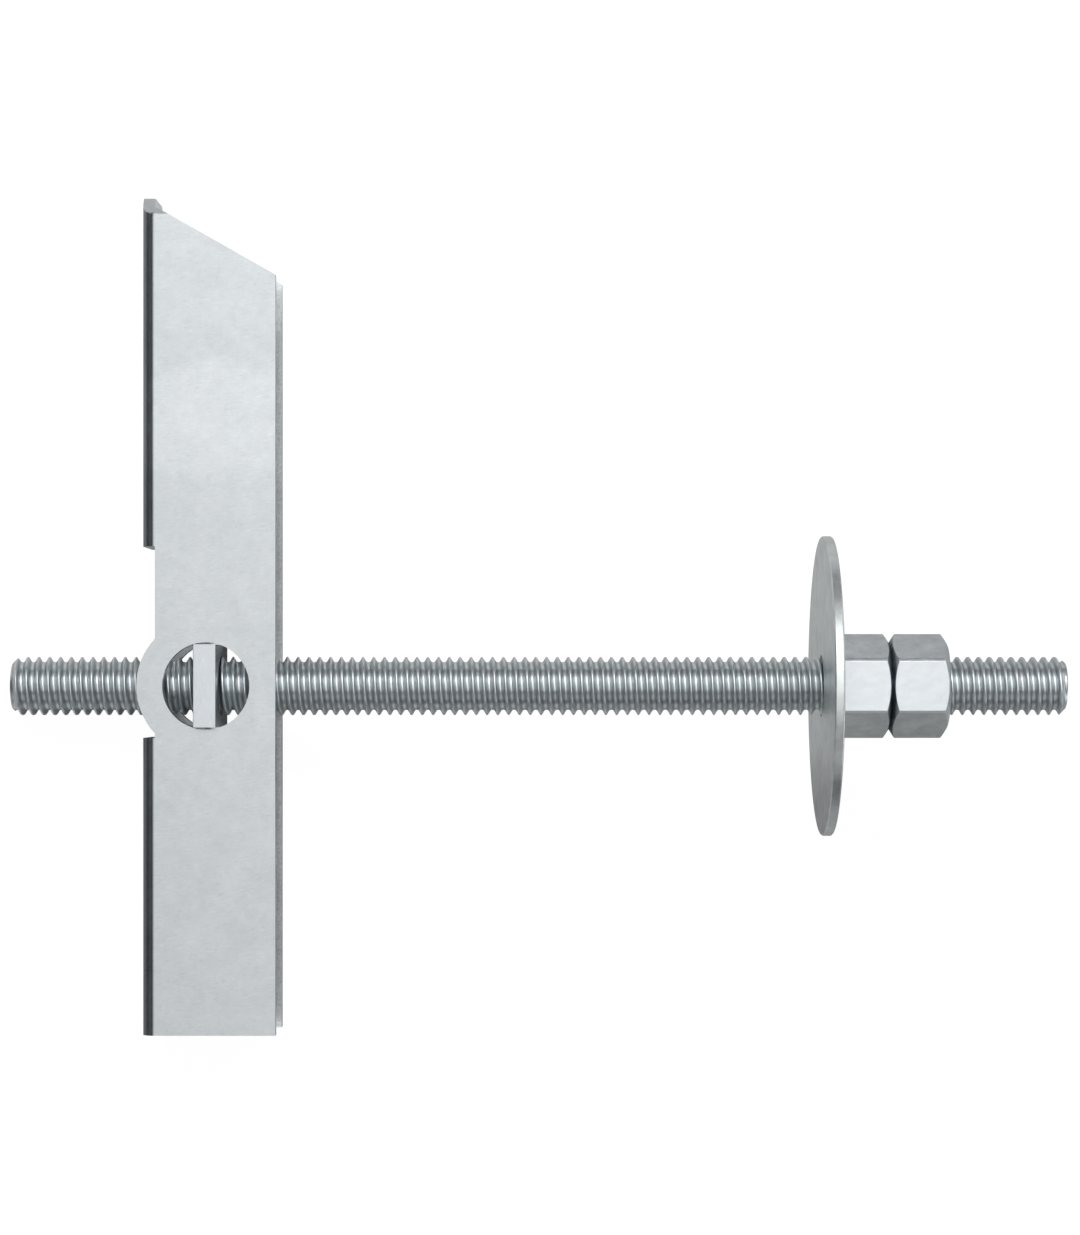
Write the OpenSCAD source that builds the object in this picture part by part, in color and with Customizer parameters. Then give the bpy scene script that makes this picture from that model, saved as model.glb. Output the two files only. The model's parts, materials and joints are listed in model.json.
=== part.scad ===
// Gravity toggle bolt: a folded channel wing tilts on a nut plate that runs on a threaded rod,
// and a large washer and two hex nuts clamp from the other end. The thread itself isn't drawn.
//
// Every sub-part is drawn about the pivot, with the rod along X, the long arm of the wing
// along Y and the pivot along Z. laid_down() then puts it on the ground as it comes to rest:
// on the rim of the washer, one corner of the nut plate and the nose of the wing.

/* [Rod] */
// Diameter of the rod over its thread
rod_d = 10; // [9:0.5:10]
// Length of the rod
rod_length = 180; // [170:5:300]
// Length of the rod past the pivot, on the wing's end
rod_reach = 33.7; // [15:0.1:45]
// Chamfer on both ends of the rod
rod_chamfer = 1; // [0.4:0.1:1.5]
// Depth of the one valley of the thread that is drawn, where the rod's free end starts
valley_depth = 0.9; // [0.5:0.1:1]

/* [Wing] */
// Thickness of the folded sheet
sheet_t = 2; // [1.5:0.1:2]
// Outer radius of the two folds
fold_r = 2; // [1.5:0.1:3]
// Inner radius of the two folds
fold_inner_r = 0.4; // [0.2:0.1:1]
// Outer width of the channel, along the pivot
wing_w = 15; // [15:0.5:18]
// Length of the long arm, from the pivot to the nose
long_arm = 82.8; // [60:0.1:100]
// Length of the short arm, from the pivot to its square end
short_arm = 59.1; // [40:0.1:80]
// Distance from the pivot to the outer face of the web
web_reach = 10.8; // [10:0.1:11]
// Outer radius of the ears, and distance from the pivot to the open edges of the flanks
ear_r = 11.75; // [11.5:0.05:14]
// Diameter of the pivot hole in each flank
pivot_hole_d = 14.76; // [14.7:0.02:16]
// End of the opening in the web, towards the long arm
opening_long = 23.6; // [20:0.1:35]
// End of the opening in the web, towards the short arm
opening_short = 8.8; // [8:0.1:12]
// Depth of that opening, from the web's outer face
opening_depth = 2.2; // [2:0.1:3]
// Slope of the flanks' cut top, in degrees
nose_slope = 29.6; // [15:0.1:40]
// Height of the web's end above the start of that slope
nose_step = 1.6; // [0.5:0.1:3]
// Corners cut off the nose at 45 degrees
nose_corner = 3; // [1:0.5:5]

/* [Nut plate] */
// Thickness of the plate, along the rod
plate_t = 3.8; // [3:0.1:4]
// Height of the plate, across the pivot holes
plate_h = 14.1; // [13:0.1:14.1]
// Length of the plate, along the pivot
plate_length = 20; // [18:0.5:24]

/* [Washer] */
// Outer diameter of the washer
washer_d = 51.3; // [40:0.1:70]
// Thickness of the washer
washer_t = 1.7; // [1:0.1:3]
// Diameter of the hole in the washer
washer_hole_d = 10.6; // [10.4:0.1:12]
// Distance from the pivot to the washer's near face
washer_at = 104.6; // [90:0.1:110]
// Rounded-off edge of the washer, taken as a chamfer
washer_edge = 0.2; // [0.1:0.05:0.4]

/* [Nuts] */
// Width of a nut across its flats
nut_flats = 15.7; // [15.6:0.1:17]
// Width of a nut across its trimmed corners
nut_corners = 17.8; // [17.2:0.1:17.9]
// Thickness of a nut
nut_t = 9.85; // [6:0.05:12]
// Diameter of the flat ring that the chamfer leaves on a nut's face
nut_face_d = 14.6; // [13:0.1:15.5]
// Depth of that chamfer, along the rod
nut_chamfer = 1; // [0.4:0.1:1.2]
// Countersink of a nut's bore
nut_countersink = 0.5; // [0.2:0.1:1]

/* [Fit] */
// Gap all round the rod in the bores that carry its thread
thread_gap = 0.05; // [0.02:0.01:0.1]

/* [Hidden] */

$fn = 96;
// Overshoot of a cutting solid past the face that it cuts
cut = 1;

rod_r = rod_d / 2;
bore_r = rod_r + thread_gap;
web_inner = web_reach - sheet_t;
flank_z = (wing_w - sheet_t) / 2;
clamp_nut_at = washer_at + washer_t;
lock_nut_at = clamp_nut_at + nut_t;
free_end_at = lock_nut_at + nut_t;
// Half the angle between the flanks of the thread
flank_angle = 30;

// The three points of contact with the ground, as [x, y, z] about the pivot. The slope is first
// taken without the roll, to find where the wing's lower fold touches.
washer_touch = [washer_at + washer_edge, 0, -washer_d / 2];
plate_touch = [-plate_t / 2, plate_h / 2, -plate_length / 2];
first_pitch = atan((plate_touch.z - washer_touch.z) / (washer_touch.x - plate_touch.x));
fold_touch = [
    fold_r * (1 - sin(first_pitch)) - web_reach,
    long_arm - nose_corner,
    fold_r * (1 - cos(first_pitch)) - wing_w / 2
];

// The roll about the rod brings plate and wing to one height at the slope that plate and
// washer set: roll_y * sin(roll) + roll_z * cos(roll) = roll_rest.
touch_ratio = (fold_touch.x - plate_touch.x) / (washer_touch.x - plate_touch.x);
roll_y = fold_touch.y - plate_touch.y * (1 - touch_ratio);
roll_z = fold_touch.z - plate_touch.z * (1 - touch_ratio);
roll_rest = touch_ratio * washer_touch.z;
rest_roll = asin(roll_rest / norm([roll_y, roll_z])) - atan2(roll_z, roll_y);
plate_drop = plate_touch.y * sin(rest_roll) + plate_touch.z * cos(rest_roll);
rest_pitch = atan((plate_drop - washer_touch.z) / (washer_touch.x - plate_touch.x));

// Place of the pivot that centres the part over the origin and sets it on the ground
pivot_at = [
    (rod_reach - rod_length / 2) * cos(rest_pitch),
    (short_arm - long_arm) / 2 * cos(rest_roll),
    -plate_touch.x * sin(rest_pitch) - plate_drop * cos(rest_pitch)
];

// Moves a child from its place about the pivot to its place on the ground.
module laid_down() {
    translate(pivot_at)
        rotate([rest_roll, -rest_pitch, 0])
            children();
}

// Turns a child's Z axis to the rod's axis, at a distance along the rod.
module along_rod(at) {
    translate([at, 0, 0])
        rotate([0, 90, 0])
            children();
}

// A rod of full diameter with a cone at each end. One valley of its thread, just inside the
// lock nut, sets off the free end that other things are screwed or slid on.
module threaded_rod() {
    valley_end = rod_reach + free_end_at + thread_gap;
    valley_run = valley_depth * tan(flank_angle);
    color([0.66, 0.68, 0.70])
        laid_down()
            along_rod(-rod_reach)
                rotate_extrude()
                    polygon([
                        [0, 0],
                        [rod_r - rod_chamfer, 0],
                        [rod_r, rod_chamfer],
                        [rod_r, valley_end - 2 * valley_run],
                        [rod_r - valley_depth, valley_end - valley_run],
                        [rod_r, valley_end],
                        [rod_r, rod_length - rod_chamfer],
                        [rod_r - rod_chamfer, rod_length],
                        [0, rod_length]
                    ]);
}

// A flat bar across the channel, tapped in the middle: it is both the pivot and the nut.
module nut_plate() {
    color([0.80, 0.81, 0.82])
        laid_down()
            difference() {
                cube([plate_t, plate_h, plate_length], center = true);
                along_rod(-plate_t / 2 - cut)
                    cylinder(r = bore_r, h = plate_t + 2 * cut);
            }
}

// A rectangle open to +X with its two corners at -X rounded.
module folded_outline(reach, half_w, corner_r) {
    length = reach + ear_r - corner_r;
    translate([corner_r - reach, -half_w])
        square([length, 2 * half_w]);
    translate([-reach, corner_r - half_w])
        square([2 * corner_r, 2 * (half_w - corner_r)]);
    for (side = [-1, 1])
        translate([corner_r - reach, side * (half_w - corner_r)])
            circle(r = corner_r);
}

// The section of the channel: the web at -X, and the open side at +X.
module channel_section() {
    inner_w = wing_w - 2 * sheet_t;
    difference() {
        folded_outline(web_reach, wing_w / 2, fold_r);
        folded_outline(web_inner, inner_w / 2, fold_inner_r);
        translate([ear_r - cut, -inner_w / 2])
            square([2 * cut, inner_w]);
    }
}

// The slope cut off the top of both flanks, which leaves the web at full length.
module flank_slope() {
    width = web_inner + ear_r + cut;
    start_y = long_arm - nose_step;
    linear_extrude(wing_w + 2 * cut, center = true)
        polygon([
            [-web_inner, start_y],
            [-web_inner, long_arm + cut],
            [ear_r + cut, long_arm + cut],
            [ear_r + cut, start_y - width * tan(nose_slope)]
        ]);
}

// The two corners cut off the nose, as triangles seen along the rod.
module nose_corners() {
    reach = nose_corner + cut;
    for (side = [0, 1])
        mirror([0, 0, side])
            translate([-web_reach - cut, long_arm - nose_corner, wing_w / 2])
                rotate([90, 0, 90])
                    linear_extrude(web_reach + ear_r + 2 * cut)
                        polygon([[-cut, cut], [reach, cut], [reach, -reach]]);
}

// A folded channel with an opening in its web for the rod, and round ears about the pivot.
module toggle_wing() {
    color([0.82, 0.83, 0.84])
        laid_down()
            difference() {
                union() {
                    difference() {
                        translate([0, long_arm, 0])
                            rotate([90, 0, 0])
                                linear_extrude(long_arm + short_arm)
                                    channel_section();
                        translate([-web_reach - cut, -opening_short, -wing_w / 2 - cut])
                            cube([opening_depth + cut, opening_long + opening_short, wing_w + 2 * cut]);
                    }
                    for (side = [-1, 1])
                        intersection() {
                            translate([0, 0, side * flank_z])
                                cylinder(r = ear_r, h = sheet_t, center = true);
                            translate([-ear_r - cut, -ear_r, -wing_w])
                                cube([ear_r + cut, 2 * ear_r, 2 * wing_w]);
                        }
                }
                cylinder(d = pivot_hole_d, h = wing_w + 2 * cut, center = true);
                flank_slope();
                nose_corners();
            }
}

// A flat ring with its outer edges broken.
module washer() {
    washer_r = washer_d / 2;
    hole_r = washer_hole_d / 2;
    color([0.70, 0.72, 0.73])
        laid_down()
            along_rod(washer_at)
                rotate_extrude()
                    polygon([
                        [hole_r, 0],
                        [washer_r - washer_edge, 0],
                        [washer_r, washer_edge],
                        [washer_r, washer_t - washer_edge],
                        [washer_r - washer_edge, washer_t],
                        [hole_r, washer_t]
                    ]);
}

// A hexagon with two of its corners along Y, trimmed and chamfered by a turned outline.
module hex_nut(at) {
    sink_r = bore_r + nut_countersink;
    laid_down()
        along_rod(at)
            intersection() {
                rotate(30)
                    cylinder(d = nut_flats / cos(30), h = nut_t, $fn = 6);
                rotate_extrude()
                    polygon([
                        [bore_r, nut_countersink],
                        [sink_r, 0],
                        [nut_face_d / 2, 0],
                        [nut_corners / 2, nut_chamfer],
                        [nut_corners / 2, nut_t - nut_chamfer],
                        [nut_face_d / 2, nut_t],
                        [sink_r, nut_t],
                        [bore_r, nut_t - nut_countersink]
                    ]);
            }
}

// The nut that presses on the washer.
module clamp_nut() {
    color([0.76, 0.77, 0.79])
        hex_nut(clamp_nut_at);
}

// The nut that locks the first one.
module lock_nut() {
    color([0.78, 0.79, 0.80])
        hex_nut(lock_nut_at);
}

threaded_rod();
nut_plate();
toggle_wing();
washer();
clamp_nut();
lock_nut();
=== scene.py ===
"""Looks of the gravity toggle bolt: its thread, softened edges and zinc-plated steel, round the CAD parts.

All sizes are in metres. The part's own axes are X along the rod to the washer, Y along the wing's long
arm and Z along the pivot, with the origin at the pivot. TO_WORLD takes them to the frame.
"""

import json
import math

import bmesh
import bpy
from mathutils import Matrix, Vector


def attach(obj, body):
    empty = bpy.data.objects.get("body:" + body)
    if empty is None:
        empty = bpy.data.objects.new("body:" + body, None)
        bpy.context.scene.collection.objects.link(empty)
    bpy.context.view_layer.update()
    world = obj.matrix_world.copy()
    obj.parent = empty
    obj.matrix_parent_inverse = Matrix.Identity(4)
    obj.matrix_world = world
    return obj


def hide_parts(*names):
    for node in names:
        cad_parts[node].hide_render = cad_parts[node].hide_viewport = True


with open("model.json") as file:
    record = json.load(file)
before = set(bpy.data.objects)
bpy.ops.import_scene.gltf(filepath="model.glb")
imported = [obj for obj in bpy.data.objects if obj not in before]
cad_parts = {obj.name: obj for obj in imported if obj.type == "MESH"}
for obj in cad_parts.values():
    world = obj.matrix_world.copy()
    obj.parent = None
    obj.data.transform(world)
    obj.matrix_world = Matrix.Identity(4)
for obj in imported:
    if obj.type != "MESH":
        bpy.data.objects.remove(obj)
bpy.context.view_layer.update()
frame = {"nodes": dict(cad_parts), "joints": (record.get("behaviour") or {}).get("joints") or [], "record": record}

MM = 0.001
X, Y, Z = range(3)
JOINTS = {joint["name"]: joint for joint in frame["joints"]}


def part_axes():
    """The part's own axes as a matrix, from the rod's direction and the wing's pivot."""
    along = Vector(JOINTS["toggle_travel"]["axis"]).normalized()
    pivot_axis = Vector(JOINTS["wing_tilt"]["axis"]).normalized()
    across = pivot_axis.cross(along).normalized()
    pivot_axis = along.cross(across)
    turned = Matrix((along, across, pivot_axis)).transposed().to_4x4()
    return Matrix.Translation(Vector(JOINTS["wing_tilt"]["pos_m"])) @ turned


TO_WORLD = part_axes()
TO_PART = TO_WORLD.inverted()
ROD_DIRECTION = TO_WORLD.to_3x3().col[0]


def part_points(node):
    """A CAD node's vertices in the part's own axes."""
    return [TO_PART @ vertex.co for vertex in frame["nodes"][node].data.vertices]


def reach(node, axis):
    """How far a CAD node reaches along one of the part's own axes."""
    return max(point[axis] for point in part_points(node))


def put_in_scene(name, data):
    """Makes data an object of the scene."""
    made = bpy.data.objects.new(name, data)
    bpy.context.scene.collection.objects.link(made)
    return made


# ---------------------------------------------------------------- the rod and its thread

# The clamping nut's coupling gives the pitch of the thread.
PITCH = 2 * math.pi / frame["record"]["behaviour"]["couplings"][0]["ratio"]
THREAD_DEPTH = 0.9 * MM
CREST_FLAT = 0.26 * MM
ROOT_FLAT = 0.60 * MM
CREST_ROUNDING = 0.03 * MM
ROOT_ROUNDING = 0.1 * MM
# Distances from a crest at which the profile is drawn, closest where it bends.
PROFILE_AT = [at * MM for at in (0, 0.10, 0.13, 0.17, 0.42, 0.54, 0.62, 0.72)]
# A crest of the thread passes the rod's upper side at this distance from the pivot.
CREST_AT = 13.2 * MM
END_CHAMFER = 1.0 * MM
ROUND_STEPS = 56
# Past the rod's ends, where the chamfer would run through the axis, the sheet keeps this share of the
# root's radius.
THINNEST_SHARE = 0.5
# Points this close to the plane of a cut count as in it.
CUT_TOLERANCE = 1e-8
# Edges that turn more than this are sharp.
SHARP_TURN = math.radians(50)
# Faces that look along the rod more than this are its cut ends, which are flat.
END_FLATNESS = 0.98
# The mesh attribute with a point's place along and across the rolled thread, and how wide it is across.
ROLLED = "rolled"
PROFILE_GRAIN = 0.5 * MM


def thread_height(offset):
    """Height of the thread over its root at an offset along the rod from a crest, with rounded corners."""
    half = PITCH / 2
    distance = abs((offset + half) % PITCH - half)
    flank = half - CREST_FLAT / 2 - ROOT_FLAT / 2
    share = (half - ROOT_FLAT / 2 - distance) / flank
    low = math.hypot(share, ROOT_ROUNDING / flank)
    high = math.hypot(1 - share, CREST_ROUNDING / flank)
    rounded = 0.5 * (1 + low - high)
    return THREAD_DEPTH * min(1.0, max(0.0, rounded))


def cut_end(mesh, place, way):
    """Cuts the rod square at a place along it and closes it. The way is 1 or -1, out of the rod."""
    everything = mesh.verts[:] + mesh.edges[:] + mesh.faces[:]
    cut = bmesh.ops.bisect_plane(
        mesh, geom=everything, dist=CUT_TOLERANCE,
        plane_co=(place, 0, 0), plane_no=(way, 0, 0), clear_outer=True,
    )
    rim = [item for item in cut["geom_cut"] if isinstance(item, bmesh.types.BMEdge)]
    bmesh.ops.edgenet_fill(mesh, edges=rim)


def threaded_rod():
    """The rod as one helical sheet of quads, cut square at both ends."""
    start = min(point.x for point in part_points("threaded_rod"))
    end = reach("threaded_rod", X)
    crest_radius = reach("threaded_rod", Y)
    root_radius = crest_radius - THREAD_DEPTH
    first = math.floor((start - CREST_AT) / PITCH) - 1
    last = math.ceil((end - CREST_AT) / PITCH) + 1
    profile = PROFILE_AT + [PITCH / 2] + [PITCH - at for at in reversed(PROFILE_AT[1:])]
    offsets = [pitches * PITCH + at for pitches in range(last - first) for at in profile]
    rows = len(offsets) - 1
    mesh = bmesh.new()
    rolled = mesh.verts.layers.float_vector.new(ROLLED)
    grid = []
    for offset in offsets:
        ring = []
        for step in range(ROUND_STEPS):
            turn = step / ROUND_STEPS
            x = CREST_AT + first * PITCH + offset + turn * PITCH
            radius = root_radius + thread_height(offset)
            radius = min(radius, crest_radius - END_CHAMFER + min(x - start, end - x))
            radius = max(radius, THINNEST_SHARE * root_radius)
            angle = 2 * math.pi * turn
            vertex = mesh.verts.new((x, radius * math.cos(angle), radius * math.sin(angle)))
            wound = (offset / PITCH + turn) * 2 * math.pi * crest_radius
            across = 2 * math.pi * offset / PITCH
            vertex[rolled] = (wound, PROFILE_GRAIN * math.cos(across), PROFILE_GRAIN * math.sin(across))
            ring.append(vertex)
        grid.append(ring)
    for row in range(rows):
        ring = grid[row]
        following = grid[row + 1]
        for step in range(ROUND_STEPS - 1):
            mesh.faces.new((ring[step], following[step], following[step + 1], ring[step + 1]))
        # The last step of a ring meets the first step of the ring one pitch ahead.
        ahead = row + len(profile)
        if ahead < rows:
            mesh.faces.new((ring[-1], following[-1], grid[ahead + 1][0], grid[ahead][0]))
    cut_end(mesh, start, -1)
    cut_end(mesh, end, 1)
    bmesh.ops.recalc_face_normals(mesh, faces=mesh.faces)
    return mesh


def add_piece(name, mesh, body, replaced):
    """Makes a bmesh in the part's own axes an object that rides on a body and stands for a CAD node."""
    mesh.transform(TO_WORLD)
    data = bpy.data.meshes.new(name)
    mesh.to_mesh(data)
    mesh.free()
    data.set_sharp_from_angle(angle=SHARP_TURN)
    for polygon in data.polygons:
        polygon.use_smooth = abs(polygon.normal.dot(ROD_DIRECTION)) < END_FLATNESS
    piece = put_in_scene(name, data)
    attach(piece, body)
    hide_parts(replaced)
    return piece


# ---------------------------------------------------------------- the CAD parts' edges

# Points this close are joined.
WELD_DISTANCE = 0.002 * MM
# Faces that turn less than this from one to the next are joined.
FLAT_TURN = math.radians(1)
# Edges that turn more than this are rounded.
EDGE_TURN = math.radians(25)
EDGE_STEPS = 3
# How much the larger faces set the shading where faces meet. The full value keeps flat faces flat.
FACE_WEIGHT = 100


def soften_edges(piece, width):
    """Rounds a CAD node's sharp edges with modifiers, which leave its mesh as it is."""
    weld = piece.modifiers.new("weld", "WELD")
    weld.merge_threshold = WELD_DISTANCE
    flat = piece.modifiers.new("flat", "DECIMATE")
    flat.decimate_type = "DISSOLVE"
    flat.angle_limit = FLAT_TURN
    bevel = piece.modifiers.new("bevel", "BEVEL")
    bevel.width = width
    bevel.segments = EDGE_STEPS
    bevel.limit_method = "ANGLE"
    bevel.angle_limit = EDGE_TURN
    bevel.use_clamp_overlap = True
    even = piece.modifiers.new("even", "WEIGHTED_NORMAL")
    even.weight = FACE_WEIGHT
    even.keep_sharp = True
    for polygon in piece.data.polygons:
        polygon.use_smooth = True


# ---------------------------------------------------------------- shader nodes

def empty_tree(owner):
    """The node tree of a new material or world, with nothing in it."""
    owner.use_nodes = True
    owner.node_tree.nodes.clear()
    return owner.node_tree


def add(tree, kind, settings=None, **sockets):
    """Adds a node. A socket goes by its name, or by _ and its number, with a value or a node's output."""
    made = tree.nodes.new(kind)
    for name, value in (settings or {}).items():
        setattr(made, name, value)
    for name, value in sockets.items():
        label = int(name[1:]) if name[0] == "_" else name.replace("_", " ")
        if isinstance(value, bpy.types.NodeSocket):
            tree.links.new(value, made.inputs[label])
        else:
            made.inputs[label].default_value = value
    return made


def math_node(tree, operation, *values):
    """The result of a Math node."""
    sockets = {f"_{place}": value for place, value in enumerate(values)}
    return add(tree, "ShaderNodeMath", {"operation": operation}, **sockets).outputs[0]


def vector_node(tree, operation, *values):
    """A Vector Math node."""
    sockets = {f"_{place}": value for place, value in enumerate(values)}
    return add(tree, "ShaderNodeVectorMath", {"operation": operation}, **sockets)


def product(tree, *factors):
    """The product of two or more values."""
    result = factors[0]
    for factor in factors[1:]:
        result = math_node(tree, "MULTIPLY", result, factor)
    return result


# The value that noise varies about.
NOISE_MIDDLE = 0.5


def noise(tree, vector, scale, detail, roughness=0.5):
    """Noise about its middle value at a vector."""
    made = add(tree, "ShaderNodeTexNoise", Vector=vector, Scale=scale, Detail=detail, Roughness=roughness)
    return made.outputs["Fac"]


def ramp(tree, value, low, high):
    """A soft step from 0 at the low value to 1 at the high one."""
    settings = {"interpolation_type": "SMOOTHSTEP"}
    return add(tree, "ShaderNodeMapRange", settings, Value=value, From_Min=low, From_Max=high).outputs[0]


def own_axes(tree, direction=0.0):
    """A CAD node's surface in the part's own axes, turned about the pivot by a direction in degrees."""
    place = add(tree, "ShaderNodeTexCoord").outputs["Object"]
    turn = Matrix.Rotation(math.radians(-direction), 4, "Z") @ TO_PART
    mapping = add(tree, "ShaderNodeMapping", Vector=place)
    mapping.inputs["Location"].default_value = turn.to_translation()
    mapping.inputs["Rotation"].default_value = turn.to_euler()
    return mapping.outputs["Vector"]


def along_thread(tree):
    """The rod's surface, as a place along and across the thread, so that its grain follows the helix."""
    return add(tree, "ShaderNodeAttribute", {"attribute_name": ROLLED}).outputs["Vector"]


# ---------------------------------------------------------------- zinc-plated steel

# Soft clouds, in the zinc's tone and in how dull it is.
CLOUD = 5 * MM
CLOUD_DETAIL = 5
CLOUD_ROUGHNESS = 0.8
DULL_SPREAD = 0.5
# Short hair marks, along and across themselves. Each pair is the noise at which a mark starts and is full.
HAIR_LONG = 1.6 * MM
HAIR_FINE = 0.3 * MM
HAIR_DETAIL = 2
LIGHT_HAIR = (0.58, 0.72)
DARK_HAIR = (0.42, 0.28)
HAIR_HEIGHT = 0.004 * MM
HAIR_BUMP = 0.5
# Small dark specks, with a pair of the same kind.
SPECK = 0.7 * MM
SPECK_DETAIL = 1
SPECK_NOISE = (0.32, 0.24)
SPECK_DEPTH = 0.06
# Slow waves of the surface.
WAVE = 2 * MM
WAVE_DETAIL = 1
WAVE_BUMP = 1.0
# What the zinc's colour goes to as its tone goes to nothing.
DARK_BLUE = (-0.04, 0, 0.03)


def zinc(
    name, colour, roughness, cloudy=0.1, cloud_size=CLOUD, wavy=0.01 * MM,
    hairy=0.0, hair_turn=0.0, rolled=False, shade=None,
):
    """Zinc-plated steel, with soft clouds, slow waves of a height, small specks and short hair marks.

    The grain of a rolled one follows the thread. A shade is a function that adds to the tree how bright the
    zinc is from place to place.
    """
    material = bpy.data.materials.new(name)
    tree = empty_tree(material)
    where = along_thread(tree) if rolled else own_axes(tree, hair_turn)
    stretched = vector_node(tree, "MULTIPLY", where, (1 / HAIR_LONG, 1 / HAIR_FINE, 1 / HAIR_FINE))
    cloud = noise(tree, where, 1 / cloud_size, CLOUD_DETAIL, CLOUD_ROUGHNESS)
    hair = noise(tree, stretched.outputs[0], 1.0, HAIR_DETAIL)
    speck = ramp(tree, noise(tree, where, 1 / SPECK, SPECK_DETAIL), *SPECK_NOISE)
    light = ramp(tree, hair, *LIGHT_HAIR)
    dark = ramp(tree, hair, *DARK_HAIR)
    tone = math_node(tree, "MULTIPLY_ADD", cloud, 2 * cloudy, 1 - cloudy)
    tone = math_node(tree, "MULTIPLY_ADD", math_node(tree, "SUBTRACT", light, dark), hairy, tone)
    tone = math_node(tree, "MULTIPLY_ADD", speck, -SPECK_DEPTH, tone)
    if shade:
        tone = math_node(tree, "MULTIPLY", tone, shade(tree))
    share = tuple(1 - blue for blue in DARK_BLUE)
    tint = vector_node(tree, "MULTIPLY_ADD", tone, share, DARK_BLUE)
    tint = vector_node(tree, "MULTIPLY", colour, tint.outputs[0])
    least_dull = (1 - DULL_SPREAD / 2) * roughness
    dull = math_node(tree, "MULTIPLY_ADD", cloud, DULL_SPREAD * roughness, least_dull)
    wave = noise(tree, where, 1 / WAVE, WAVE_DETAIL)
    waves = add(tree, "ShaderNodeBump", Strength=WAVE_BUMP, Distance=wavy, Height=wave)
    hairs = add(
        tree, "ShaderNodeBump",
        Strength=HAIR_BUMP, Distance=HAIR_HEIGHT, Height=hair, Normal=waves.outputs[0],
    )
    shader = add(
        tree, "ShaderNodeBsdfPrincipled",
        Base_Color=tint.outputs[0], Metallic=1.0, Roughness=dull, Normal=hairs.outputs[0],
    )
    add(tree, "ShaderNodeOutputMaterial", Surface=shader.outputs[0])
    return material


# ---------------------------------------------------------------- the zinc's shade from place to place

def beside(place, start, full):
    """The pair of places where a soft step starts and where it is full, in millimetres from a place."""
    return place + start * MM, place + full * MM


# The wing's sheet, the web's inner face and how much is cut off the nose's corners.
SHEET = 2 * MM
WEB_INNER_X = -8.8 * MM
NOSE_CORNER = 3 * MM
# A depth is a distance from the middle of the wing's width.
OUTER_DEPTH = reach("toggle_wing", Z)
INNER_DEPTH = OUTER_DEPTH - SHEET
# The place along the arm plus the depth, which is the same all over a cut corner.
NOSE_CUT = reach("toggle_wing", Y) + OUTER_DEPTH - NOSE_CORNER

# The bends get painted shade. The flat ears, which lie further out, and the nose's cut corners do not.
PAINTED_BEND_SHADE = 0.38
BEND_X = beside(WEB_INNER_X, -0.45, -1.35)
BEND_DEPTH = beside(INNER_DEPTH, -0.3, 0.3)
WITHIN_EARS = beside(OUTER_DEPTH, -0.03, -0.12)
WITHIN_NOSE_CUT = beside(NOSE_CUT, -0.1, -0.3)
# The flanks get a line of painted shade where a bend starts, on both sides of the round ears.
PAINTED_LINE_SHADE = 0.32
LINE_STARTS_X = beside(WEB_INNER_X, 0.2, -0.3)
LINE_ENDS_X = beside(WEB_INNER_X, -0.65, -0.3)
LINE_DEPTH = beside(OUTER_DEPTH, -0.3, -0.2)
EARS_END_Y = 8.3 * MM
PAST_EARS = beside(EARS_END_Y, -0.2, 0.2)
# A band across the long arm is rubbed bright. Noise moves its two edges by up to the wander.
BAND_SHADE = 1.08
BAND_STARTS_Y = (38 * MM, 42 * MM)
BAND_ENDS_Y = (60 * MM, 56 * MM)
BAND_WANDER = 8 * MM
BAND_DETAIL = 3
# The flanks' inner faces are brightened with painted light, with a fine mottle.
INNER_PAINTED_LIGHT = 1.37
INNER_FACE_X = beside(WEB_INNER_X, -0.1, 0.1)
INNER_FACE_DEPTH = beside(INNER_DEPTH, 0.1, 0)
MOTTLE = 0.5 * MM
MOTTLE_STRENGTH = 0.8
MOTTLE_DETAIL = 2


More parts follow.
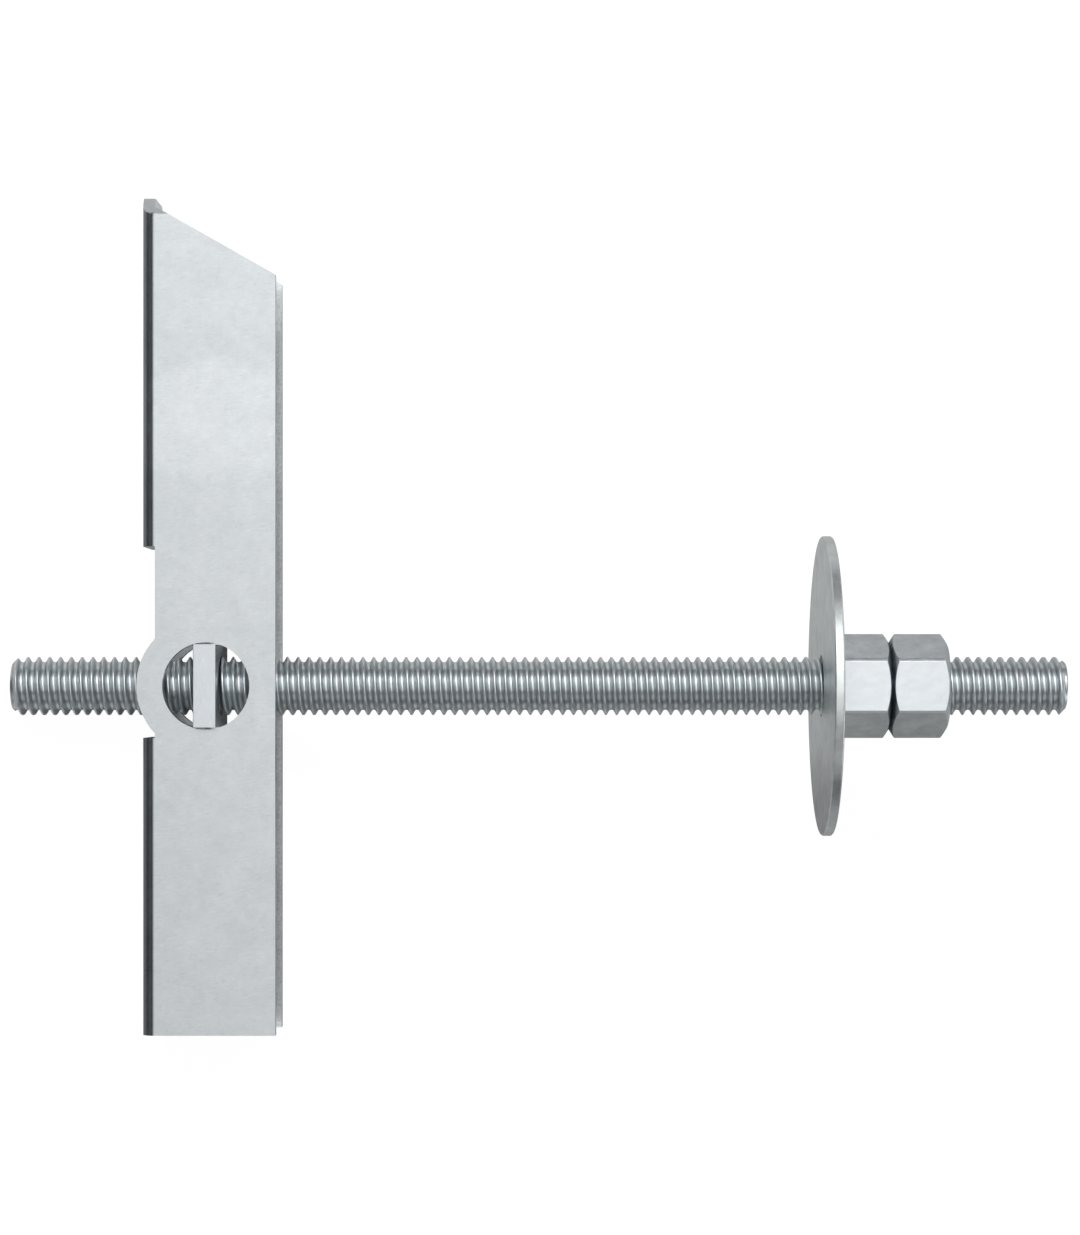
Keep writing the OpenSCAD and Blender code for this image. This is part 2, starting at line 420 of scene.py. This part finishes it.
def wing_shade(tree):
    """The wing's zinc: painted shade at and by the bends, rubbed bright in a band and painted light inside."""
    where = own_axes(tree)
    place = add(tree, "ShaderNodeSeparateXYZ", Vector=where).outputs
    depth = math_node(tree, "ABSOLUTE", place["Z"])
    from_pivot = math_node(tree, "ABSOLUTE", place["Y"])
    wander = noise(tree, where, 1 / CLOUD, BAND_DETAIL)
    wandering = math_node(tree, "MULTIPLY_ADD", wander, BAND_WANDER, place["Y"])
    bend = product(
        tree,
        ramp(tree, place["X"], *BEND_X),
        ramp(tree, depth, *BEND_DEPTH),
        ramp(tree, depth, *WITHIN_EARS),
        ramp(tree, math_node(tree, "ADD", place["Y"], depth), *WITHIN_NOSE_CUT),
    )
    line = product(
        tree,
        ramp(tree, place["X"], *LINE_STARTS_X),
        ramp(tree, place["X"], *LINE_ENDS_X),
        ramp(tree, depth, *LINE_DEPTH),
        ramp(tree, from_pivot, *PAST_EARS),
    )
    band = product(
        tree,
        ramp(tree, wandering, *BAND_STARTS_Y),
        ramp(tree, wandering, *BAND_ENDS_Y),
    )
    inner_face = product(
        tree,
        ramp(tree, place["X"], *INNER_FACE_X),
        ramp(tree, depth, *INNER_FACE_DEPTH),
    )
    mottle = noise(tree, where, 1 / MOTTLE, MOTTLE_DETAIL)
    least_change = INNER_PAINTED_LIGHT - 1 - MOTTLE_STRENGTH * NOISE_MIDDLE
    change = math_node(tree, "MULTIPLY_ADD", mottle, MOTTLE_STRENGTH, least_change)
    # Painted shade on the bends.
    shade = math_node(tree, "MULTIPLY_ADD", bend, PAINTED_BEND_SHADE - 1, 1.0)
    # Painted shade along the line where each bend starts.
    shade = math_node(tree, "MULTIPLY_ADD", line, PAINTED_LINE_SHADE - 1, shade)
    shade = math_node(tree, "MULTIPLY_ADD", band, BAND_SHADE - 1, shade)
    # Painted light brightens the flanks' inner faces.
    return math_node(tree, "MULTIPLY_ADD", inner_face, change, shade)


# The plane in which the two nuts meet, the radius of their end faces and the slope of their chamfers.
NUTS_MEET_X = reach("clamp_nut", X)
NUT_FACE_RADIUS = 7.3 * MM
NUT_CHAMFER_SLOPE = math.tan(math.radians(30))
# The chamfers by that plane get painted shade, the shade between the nuts. The pairs are heights over a chamfer's
# cone and distances from the plane.
PAINTED_GAP_SHADE = 0.35
GAP_FROM_CONE = beside(0, -0.15, -0.05)
GAP_FROM_PLANE = beside(0, 0.8, 0.25)
# The nuts' front and back faces are clean. The rest, which is less deep, is patchy.
PATCHY_DEPTH = beside(reach("clamp_nut", Z), -0.15, -0.25)
PATCH = 2.5 * MM
PATCH_STRENGTH = 0.65
PATCH_DETAIL = 4
PATCH_ROUGHNESS = 0.6


def nut_shade(tree):
    """A nut's zinc: painted shade on the chamfer that faces the other nut, and patchy on its sides."""
    where = own_axes(tree)
    place = add(tree, "ShaderNodeSeparateXYZ", Vector=where).outputs
    spoke = add(tree, "ShaderNodeCombineXYZ", Y=place["Y"], Z=place["Z"]).outputs[0]
    radius = vector_node(tree, "LENGTH", spoke).outputs["Value"]
    from_plane = math_node(tree, "ABSOLUTE", math_node(tree, "SUBTRACT", place["X"], NUTS_MEET_X))
    depth = math_node(tree, "ABSOLUTE", place["Z"])
    cone = math_node(tree, "MULTIPLY_ADD", radius, NUT_CHAMFER_SLOPE, -NUT_FACE_RADIUS * NUT_CHAMFER_SLOPE)
    gap = product(
        tree,
        ramp(tree, math_node(tree, "SUBTRACT", cone, from_plane), *GAP_FROM_CONE),
        ramp(tree, from_plane, *GAP_FROM_PLANE),
    )
    cloud = noise(tree, where, 1 / PATCH, PATCH_DETAIL, PATCH_ROUGHNESS)
    patch = product(
        tree,
        math_node(tree, "SUBTRACT", cloud, NOISE_MIDDLE),
        PATCH_STRENGTH,
        ramp(tree, depth, *PATCHY_DEPTH),
    )
    # Painted shade on the chamfer that faces the other nut.
    shade = math_node(tree, "MULTIPLY_ADD", gap, PAINTED_GAP_SHADE - 1, 1.0)
    return math_node(tree, "ADD", shade, patch)


# The flanks of the rod's thread get painted shade.
PAINTED_FLANK_SHADE = 0.66


def rod_shade(tree):
    """The rod's zinc: painted shade on the flanks of the thread, none on its crests or in its roots."""
    across = add(tree, "ShaderNodeSeparateXYZ", Vector=along_thread(tree)).outputs["Z"]
    side = math_node(tree, "DIVIDE", across, PROFILE_GRAIN)
    flank = math_node(tree, "MULTIPLY", side, side)
    # Painted shade on the flanks of the thread.
    return math_node(tree, "MULTIPLY_ADD", flank, PAINTED_FLANK_SHADE - 1, 1.0)


# ---------------------------------------------------------------- the pieces' finishes

ROD_ZINC = (0.86, 0.91, 0.93)
SHEET_ZINC = (0.585, 0.615, 0.63)
PLATE_ZINC = (0.63, 0.67, 0.69)
WASHER_ZINC = (0.80, 0.84, 0.84)
NUT_ZINC = (0.72, 0.76, 0.78)


def rod_finish():
    """The rod's zinc, with its grain along the thread."""
    return zinc("rod_zinc", ROD_ZINC, roughness=0.32, rolled=True, shade=rod_shade)


def sheet_finish():
    """The wing's zinc, cloudy and with its hair marks nearly along the rod."""
    return zinc(
        "sheet_zinc", SHEET_ZINC, roughness=0.3,
        cloudy=0.25, hairy=0.08, hair_turn=8, shade=wing_shade,
    )


def plate_finish():
    """The plate's zinc, with its hair marks along the bar's width."""
    return zinc("plate_zinc", PLATE_ZINC, roughness=0.3, cloudy=0.16, hairy=0.08, hair_turn=90)


def washer_finish():
    """The washer's zinc, the dullest and cloudiest."""
    return zinc("washer_zinc", WASHER_ZINC, roughness=0.38, cloudy=0.4)


def nut_finish(name):
    """A nut's zinc, with smaller clouds and higher waves than the others."""
    return zinc(name, NUT_ZINC, roughness=0.32, cloud_size=3 * MM, wavy=0.06 * MM, shade=nut_shade)


rod = add_piece("threaded_rod_with_thread", threaded_rod(), "rod", "threaded_rod")
rod.data.materials.append(rod_finish())

# Each other node, with the width of its softened edges and its finish.
for node, edge, finish in (
    ("toggle_wing", 0.15 * MM, sheet_finish()),
    ("nut_plate", 0.1 * MM, plate_finish()),
    ("washer", 0.1 * MM, washer_finish()),
    ("clamp_nut", 0.06 * MM, nut_finish("clamp_nut_zinc")),
    ("lock_nut", 0.06 * MM, nut_finish("lock_nut_zinc")),
):
    piece = frame["nodes"][node]
    soften_edges(piece, edge)
    for slot in piece.material_slots:
        slot.material = finish


# ---------------------------------------------------------------- floor and world

WHITE = (1, 1, 1, 1)
FLOOR_SIZE = 6.0
FLOOR_COLOUR = (0.16, 0.16, 0.16, 1)
WORLD_LIGHT = 0.02
# Reflections see this share of the plain white that the camera sees, on top of the floor's own shade.
MIRRORED_WHITE = 0.05
# How much of the white covers the floor's own shade, and its strength, which together come to white.
WHITE_COVER = 0.8
WHITE_STRENGTH = 1.22


def white_share(tree):
    """How much of the plain white a ray sees: all for the camera, a share if glossy or transmission."""
    ray = add(tree, "ShaderNodeLightPath").outputs
    bounced = math_node(tree, "ADD", ray["Is Glossy Ray"], ray["Is Transmission Ray"])
    settings = {"operation": "MULTIPLY_ADD", "use_clamp": True}
    total = add(tree, "ShaderNodeMath", settings, _0=bounced, _1=MIRRORED_WHITE, _2=ray["Is Camera Ray"])
    return total.outputs[0]


def pale_floor():
    """A plain pale floor that keeps the object's shadow."""
    half = FLOOR_SIZE / 2
    corners = [(-half, -half, 0), (half, -half, 0), (half, half, 0), (-half, half, 0)]
    data = bpy.data.meshes.new("floor")
    data.from_pydata(corners, [], [(0, 1, 2, 3)])
    floor = put_in_scene("floor", data)
    material = bpy.data.materials.new("floor")
    tree = empty_tree(material)
    matte = add(tree, "ShaderNodeBsdfDiffuse", Color=FLOOR_COLOUR)
    white = add(tree, "ShaderNodeEmission", Strength=WHITE_STRENGTH)
    cover = math_node(tree, "MULTIPLY", white_share(tree), WHITE_COVER)
    mix = add(tree, "ShaderNodeMixShader", Fac=cover, _1=matte.outputs[0], _2=white.outputs[0])
    add(tree, "ShaderNodeOutputMaterial", Surface=mix.outputs[0])
    data.materials.append(material)


def plain_world():
    """A dim even world that the camera sees as white."""
    world = bpy.data.worlds.new("studio")
    bpy.context.scene.world = world
    tree = empty_tree(world)
    light = add(tree, "ShaderNodeBackground", Color=WHITE, Strength=WORLD_LIGHT)
    white = add(tree, "ShaderNodeBackground", Color=WHITE)
    mix = add(tree, "ShaderNodeMixShader", Fac=white_share(tree), _1=light.outputs[0], _2=white.outputs[0])
    add(tree, "ShaderNodeOutputWorld", Surface=mix.outputs[0])


# ---------------------------------------------------------------- camera and lamps

# The camera looks along the pivot's axis, straight at this point of the rod.
VIEW_AT = Vector((56.47 * MM, 0, 0))
VIEW_DISTANCE = 529.5 * MM
# The photo's height and the row of the rod's axis in it, in pixels, and its pixels per metre at the rod.
PHOTO_HEIGHT = 1235
AXIS_ROW = 686
PHOTO_SCALE = 5.836 / MM
SENSOR_WIDTH = 36

# Name, rise and swing in degrees, distance and size in metres, and radiance.
LAMPS = (
    ("key_softbox", 12, 2, 1.4, (1.1, 2.0), 1.0),
    ("key_core", 32, 5, 1.39, (0.9, 0.6), 1.25),
    ("front_fill", 20, 12, 1.6, (1.8, 1.2), 0.25),
    ("top_fill", 60, 0, 1.0, (1.2, 0.5), 0.24),
    ("low_fill", -54, 5, 1.4, (1.0, 0.8), 0.38),
    ("side_fill", 0, 80, 0.6, (0.35, 1.0), 0.9),
)
# These light the floor and aren't mirrored in the metal.
FLOOR_LAMPS = (
    ("floor_light", 46, -10, 0.45, (0.2, 0.2), 54),
    ("floor_fill", -50, -10, 0.45, (0.1, 0.1), 22),
)
# Weak cards round the object, which keep the metal from going black when it is seen from behind.
CARD_PLACES = ((66, 48), (66, -48), (-66, 48), (-66, -48))
CARD_DISTANCE = 1.0
CARD_SIZE = (0.5, 0.5)
CARD_RADIANCE = 0.5


def soft_lamp(name, rise, swing, distance, size, radiance, mirrored=True):
    """A soft lamp that faces the middle of the view.

    It stands rise degrees from the camera's line of view towards the long arm and swing degrees towards the
    washer, and radiance is how bright it looks. One that isn't mirrored leaves no spot in the metal.
    """
    data = bpy.data.lights.new(name, "AREA")
    data.shape = "RECTANGLE"
    data.size, data.size_y = size
    data.energy = radiance * math.pi * size[0] * size[1]
    lamp = put_in_scene(name, data)
    turn = Matrix.Rotation(math.radians(-rise), 4, "X") @ Matrix.Rotation(math.radians(swing), 4, "Y")
    lamp.matrix_world = TO_WORLD @ Matrix.Translation(VIEW_AT) @ turn @ Matrix.Translation((0, 0, distance))
    lamp.visible_camera = False
    lamp.visible_glossy = mirrored


def studio_camera():
    """A camera where the photo's stood, with the photo's framing."""
    data = bpy.data.cameras.new("camera")
    data.sensor_width = SENSOR_WIDTH
    data.lens = data.sensor_width * VIEW_DISTANCE * PHOTO_SCALE / PHOTO_HEIGHT
    data.shift_y = (AXIS_ROW - PHOTO_HEIGHT / 2) / PHOTO_HEIGHT
    camera = put_in_scene("camera", data)
    camera.matrix_world = TO_WORLD @ Matrix.Translation(VIEW_AT + Vector((0, 0, VIEW_DISTANCE)))
    bpy.context.scene.camera = camera


pale_floor()
plain_world()
for lamp in LAMPS:
    soft_lamp(*lamp)
for lamp in FLOOR_LAMPS:
    soft_lamp(*lamp, mirrored=False)
for number, (rise, swing) in enumerate(CARD_PLACES, 1):
    soft_lamp(f"corner_card_{number}", rise, swing, CARD_DISTANCE, CARD_SIZE, CARD_RADIANCE)
studio_camera()
bpy.context.scene.view_settings.view_transform = "Standard"
